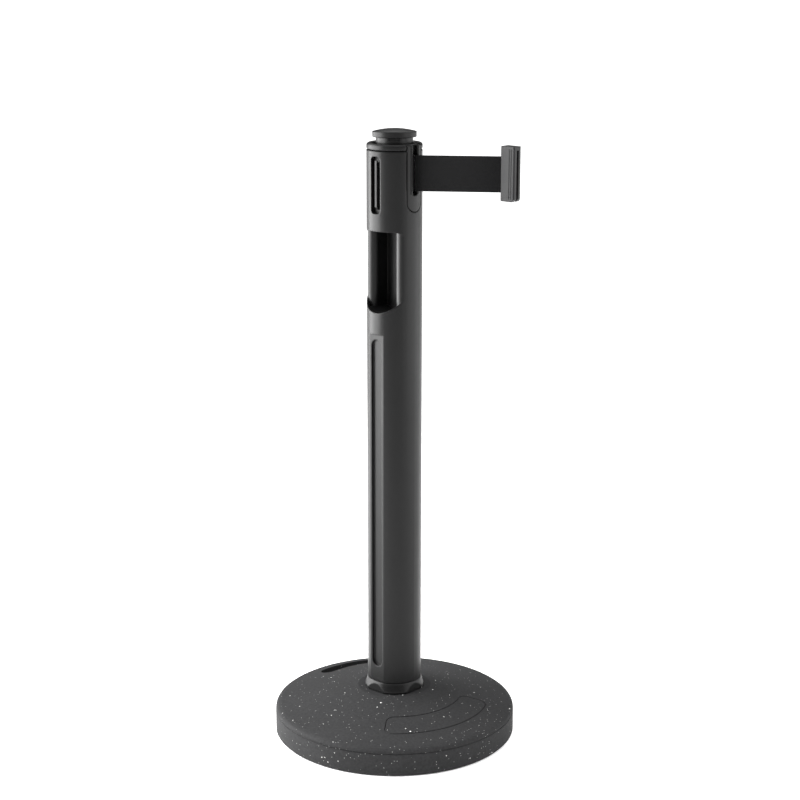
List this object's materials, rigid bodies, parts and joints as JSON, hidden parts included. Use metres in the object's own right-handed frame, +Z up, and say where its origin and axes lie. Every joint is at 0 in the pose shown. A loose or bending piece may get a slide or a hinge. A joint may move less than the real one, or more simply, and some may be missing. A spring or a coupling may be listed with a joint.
{
  "type": "retractable belt stanchion",
  "caption": "Free-standing crowd-control post with a heavy round base, hand grip, turn cap and a belt that pulls out of its side and ends in a hooked clip.",
  "frame": {"origin": "centre of the base's underside, on the floor", "axes": "+Z up the post, +X out of the belt exit, -Y on the side of the hand grip and long groove"},
  "size_m": [0.383, 0.383, 0.965],
  "materials": {
    "black_plastic": "satin, finely grained",
    "receiver_plastic": "matte",
    "clip_plastic": "satin",
    "white_plastic": "satin",
    "base_rubber": "matte, with small pale flecks",
    "webbing": "woven",
    "felt": "felt",
    "steel": "zinc plated",
    "spring_steel": "blued",
    "brass": "turned"
  },
  "bodies": {
    "post": {"rubber_base": "base_rubber", "base_washer": "steel", "base_bolt": "steel", "post_foot": "black_plastic", "foot_insert": "brass", "post_tube": "black_plastic", "receiver_front": "receiver_plastic", "receiver_back": "receiver_plastic", "receiver_side": "receiver_plastic", "receiver_screws": "steel", "cassette_frame": "receiver_plastic", "cassette_posts": "steel", "exit_plate": "black_plastic", "exit_screws": "steel", "collar": "black_plastic", "spool_axle": "steel", "mainspring": "spring_steel", "roller_pin": "steel", "brake_pad": "felt", "belt_run": "webbing", "cap_spindle": "steel"},
    "spool": {"spool": "white_plastic", "belt_roll": "webbing"},
    "roller": {"guide_roller": "steel"},
    "cap": {"cap": "black_plastic"},
    "belt": {"belt_strip": "webbing"},
    "belt_end": {"clip_pin": "steel"},
    "clip": {"clip_left": "clip_plastic", "clip_right": "clip_plastic", "clip_screws": "steel"}
  },
  "joints": [
    {"name": "belt_swing", "type": "hinge", "parent": "post", "child": "belt", "pos_m": [0.041, 0, 0.901], "axis": [0, 0, 1], "range_deg": [-86.5, 13.5]},
    {"name": "belt_pull", "type": "slide", "parent": "belt", "child": "belt_end", "axis": [0.8039, 0.5948, 0], "range_m": [-0.12, 1.98], "stiffness_N_per_m": 2, "springref_m": -0.12, "deforming": ["belt_strip"]},
    {"name": "clip_turn", "type": "hinge", "parent": "belt_end", "child": "clip", "pos_m": [0.15354, 0.08328, 0.901], "axis": [0, 0, 1], "range_deg": [-2, 74]},
    {"name": "spool_spin", "type": "hinge", "parent": "post", "child": "spool", "pos_m": [0, 0, 0.901], "axis": [0, 0, 1], "range_deg": [-300, 4300], "deforming": ["mainspring"]},
    {"name": "roller_spin", "type": "hinge", "parent": "post", "child": "roller", "pos_m": [0.0343, -0.0106, 0.901], "axis": [0, 0, 1], "range_deg": [-45500, 2900]},
    {"name": "cap_turn", "type": "hinge", "parent": "post", "child": "cap", "pos_m": [0, 0, 0.95], "axis": [0, 0, 1], "range_deg": [0, 90]}
  ],
  "couplings": [
    {"joint": "spool_spin", "follows": "belt_pull", "rad_per_m": 37.037},
    {"joint": "roller_spin", "follows": "belt_pull", "rad_per_m": -400}
  ]
}
